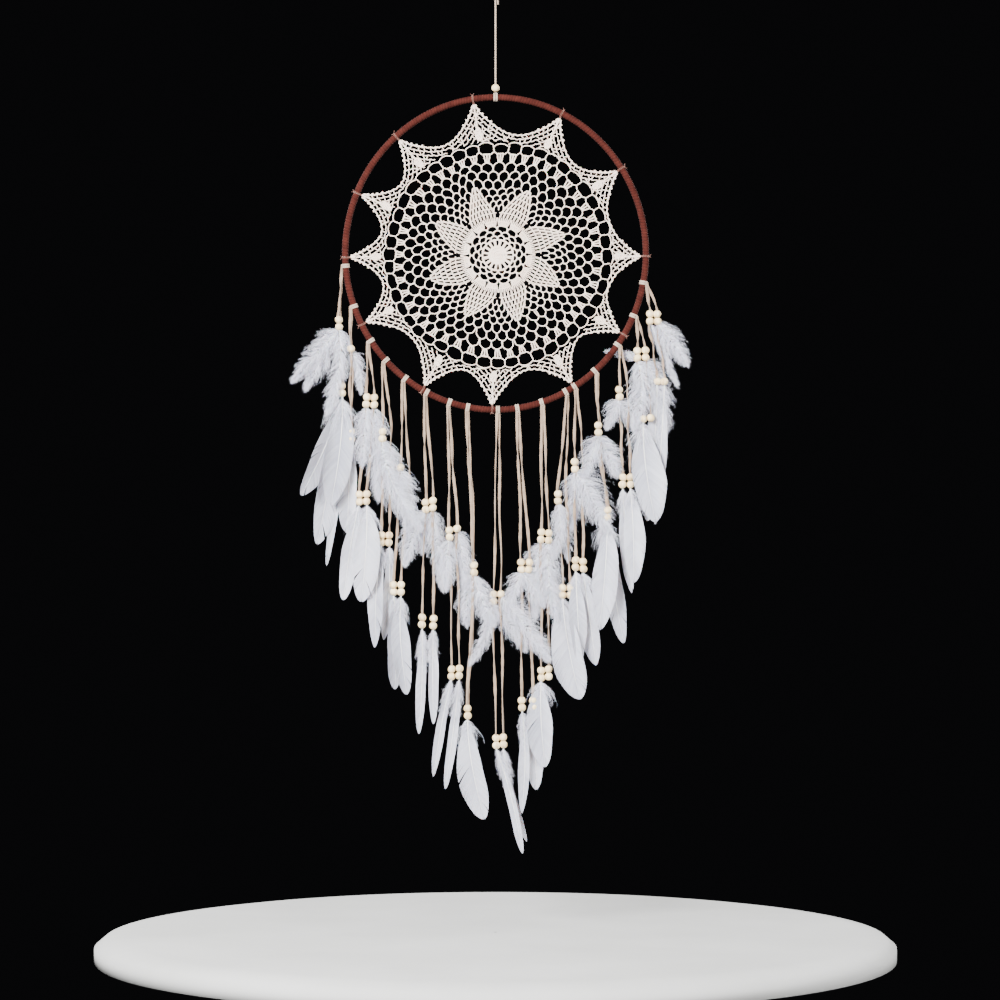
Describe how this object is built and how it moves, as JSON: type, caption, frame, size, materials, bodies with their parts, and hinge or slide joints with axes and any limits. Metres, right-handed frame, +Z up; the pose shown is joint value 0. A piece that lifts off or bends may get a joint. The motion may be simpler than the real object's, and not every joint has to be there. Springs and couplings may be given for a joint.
{
  "type": "dream catcher",
  "caption": "Hanging dream catcher: a suede-wound hoop with a crocheted doily, and doubled laces carrying wooden beads, downy plumes and goose quill feathers",
  "frame": {"origin": "the top of the hanging loop, where a nail or hook carries it", "axes": "+Z up, +X to the right of a person who faces the front of the hoop, +Y away from that person"},
  "size_m": [0.4932, 0.0262, 1.091],
  "materials": {
    "hoop_steel": "satin",
    "hoop_suede": "matt suede",
    "cotton_crochet": "matt cotton thread",
    "suede_lace": "matt suede",
    "wood_bead": "unvarnished, smooth",
    "feather": "silky"
  },
  "bodies": {
    "suspension": {"hanging_cord": "suede_lace"},
    "hoop": {"hoop_core": "hoop_steel", "hoop_wrap": "hoop_suede", "crochet_web": "cotton_crochet", "hanging_knot": "suede_lace", "hanging_bead": "wood_bead"},
    "strand_01": {"strand_01_lace": "suede_lace", "strand_01_upper_tassel": "feather", "strand_01_lower_tassel": "feather"},
    "strand_02": {"strand_02_lace": "suede_lace", "strand_02_upper_tassel": "feather", "strand_02_lower_tassel": "feather"},
    "strand_03": {"strand_03_lace": "suede_lace", "strand_03_upper_tassel": "feather", "strand_03_lower_tassel": "feather"},
    "strand_04": {"strand_04_lace": "suede_lace", "strand_04_upper_tassel": "feather", "strand_04_lower_tassel": "feather"},
    "strand_05": {"strand_05_lace": "suede_lace", "strand_05_upper_tassel": "feather", "strand_05_lower_tassel": "feather"},
    "strand_06": {"strand_06_lace": "suede_lace", "strand_06_upper_tassel": "feather", "strand_06_lower_tassel": "feather"},
    "strand_07": {"strand_07_lace": "suede_lace", "strand_07_upper_tassel": "feather", "strand_07_lower_tassel": "feather"},
    "strand_08": {"strand_08_lace": "suede_lace", "strand_08_upper_tassel": "feather", "strand_08_lower_tassel": "feather"},
    "strand_09": {"strand_09_lace": "suede_lace", "strand_09_upper_tassel": "feather", "strand_09_lower_tassel": "feather"},
    "strand_10": {"strand_10_lace": "suede_lace", "strand_10_upper_tassel": "feather", "strand_10_lower_tassel": "feather"},
    "strand_11": {"strand_11_lace": "suede_lace", "strand_11_upper_tassel": "feather", "strand_11_lower_tassel": "feather"},
    "strand_12": {"strand_12_lace": "suede_lace", "strand_12_upper_tassel": "feather", "strand_12_lower_tassel": "feather"},
    "strand_13": {"strand_13_lace": "suede_lace", "strand_13_upper_tassel": "feather", "strand_13_lower_tassel": "feather"},
    "strand_14": {"strand_14_lace": "suede_lace", "strand_14_upper_tassel": "feather", "strand_14_lower_tassel": "feather"},
    "strand_15": {"strand_15_lace": "suede_lace", "strand_15_upper_tassel": "feather", "strand_15_lower_tassel": "feather"},
    "strand_16": {"strand_16_lace": "suede_lace", "strand_16_upper_tassel": "feather", "strand_16_lower_tassel": "feather"},
    "strand_17": {"strand_17_lace": "suede_lace", "strand_17_upper_tassel": "feather", "strand_17_lower_tassel": "feather"}
  },
  "joints": [
    {"name": "hoop_twist", "type": "hinge", "parent": "suspension", "child": "hoop", "pos_m": [0, 0, -0.137], "axis": [0, 0, 1], "range_deg": [-180, 180], "stiffness_Nm_per_rad": 0.01},
    {"name": "strand_01_swing", "type": "hinge", "parent": "hoop", "child": "strand_01", "pos_m": [-0.18779, 0, -0.3554], "axis": [0.0772, 0, -0.997], "range_deg": [-20, 20]},
    {"name": "strand_02_swing", "type": "hinge", "parent": "hoop", "child": "strand_02", "pos_m": [-0.17726, 0, -0.40602], "axis": [0.3273, 0, -0.9449], "range_deg": [-20, 20]},
    {"name": "strand_03_swing", "type": "hinge", "parent": "hoop", "child": "strand_03", "pos_m": [-0.15619, 0, -0.44919], "axis": [0.5444, 0, -0.8388], "range_deg": [-20, 20]},
    {"name": "strand_04_swing", "type": "hinge", "parent": "hoop", "child": "strand_04", "pos_m": [-0.13734, 0, -0.47373], "axis": [0.6704, 0, -0.742], "range_deg": [-20, 20]},
    {"name": "strand_05_swing", "type": "hinge", "parent": "hoop", "child": "strand_05", "pos_m": [-0.11312, 0, -0.49628], "axis": [0.7884, 0, -0.6152], "range_deg": [-20, 20]},
    {"name": "strand_06_swing", "type": "hinge", "parent": "hoop", "child": "strand_06", "pos_m": [-0.08612, 0, -0.51385], "axis": [0.8821, 0, -0.4711], "range_deg": [-20, 20]},
    {"name": "strand_07_swing", "type": "hinge", "parent": "hoop", "child": "strand_07", "pos_m": [-0.05759, 0, -0.52613], "axis": [0.9486, 0, -0.3165], "range_deg": [-20, 20]},
    {"name": "strand_08_swing", "type": "hinge", "parent": "hoop", "child": "strand_08", "pos_m": [-0.03466, 0, -0.53216], "axis": [0.9816, 0, -0.1909], "range_deg": [-20, 20]},
    {"name": "strand_09_swing", "type": "hinge", "parent": "hoop", "child": "strand_09", "pos_m": [0.00296, 0, -0.53548], "axis": [0.9999, 0, 0.0163], "range_deg": [-20, 20]},
    {"name": "strand_10_swing", "type": "hinge", "parent": "hoop", "child": "strand_10", "pos_m": [0.0272, 0, -0.53345], "axis": [0.9887, 0, 0.1499], "range_deg": [-20, 20]},
    {"name": "strand_11_swing", "type": "hinge", "parent": "hoop", "child": "strand_11", "pos_m": [0.05759, 0, -0.52613], "axis": [0.9486, 0, 0.3165], "range_deg": [-20, 20]},
    {"name": "strand_12_swing", "type": "hinge", "parent": "hoop", "child": "strand_12", "pos_m": [0.08758, 0, -0.51306], "axis": [0.8778, 0, 0.479], "range_deg": [-20, 20]},
    {"name": "strand_13_swing", "type": "hinge", "parent": "hoop", "child": "strand_13", "pos_m": [0.09872, 0, -0.50647], "axis": [0.8425, 0, 0.5387], "range_deg": [-20, 20]},
    {"name": "strand_14_swing", "type": "hinge", "parent": "hoop", "child": "strand_14", "pos_m": [0.1241, 0, -0.48702], "axis": [0.7397, 0, 0.673], "range_deg": [-20, 20]},
    {"name": "strand_15_swing", "type": "hinge", "parent": "hoop", "child": "strand_15", "pos_m": [0.1528, 0, -0.45423], "axis": [0.5701, 0, 0.8216], "range_deg": [-20, 20]},
    {"name": "strand_16_swing", "type": "hinge", "parent": "hoop", "child": "strand_16", "pos_m": [0.17277, 0, -0.41778], "axis": [0.386, 0, 0.9225], "range_deg": [-20, 20]},
    {"name": "strand_17_swing", "type": "hinge", "parent": "hoop", "child": "strand_17", "pos_m": [0.18506, 0, -0.37639], "axis": [0.1805, 0, 0.9836], "range_deg": [-20, 20]}
  ]
}
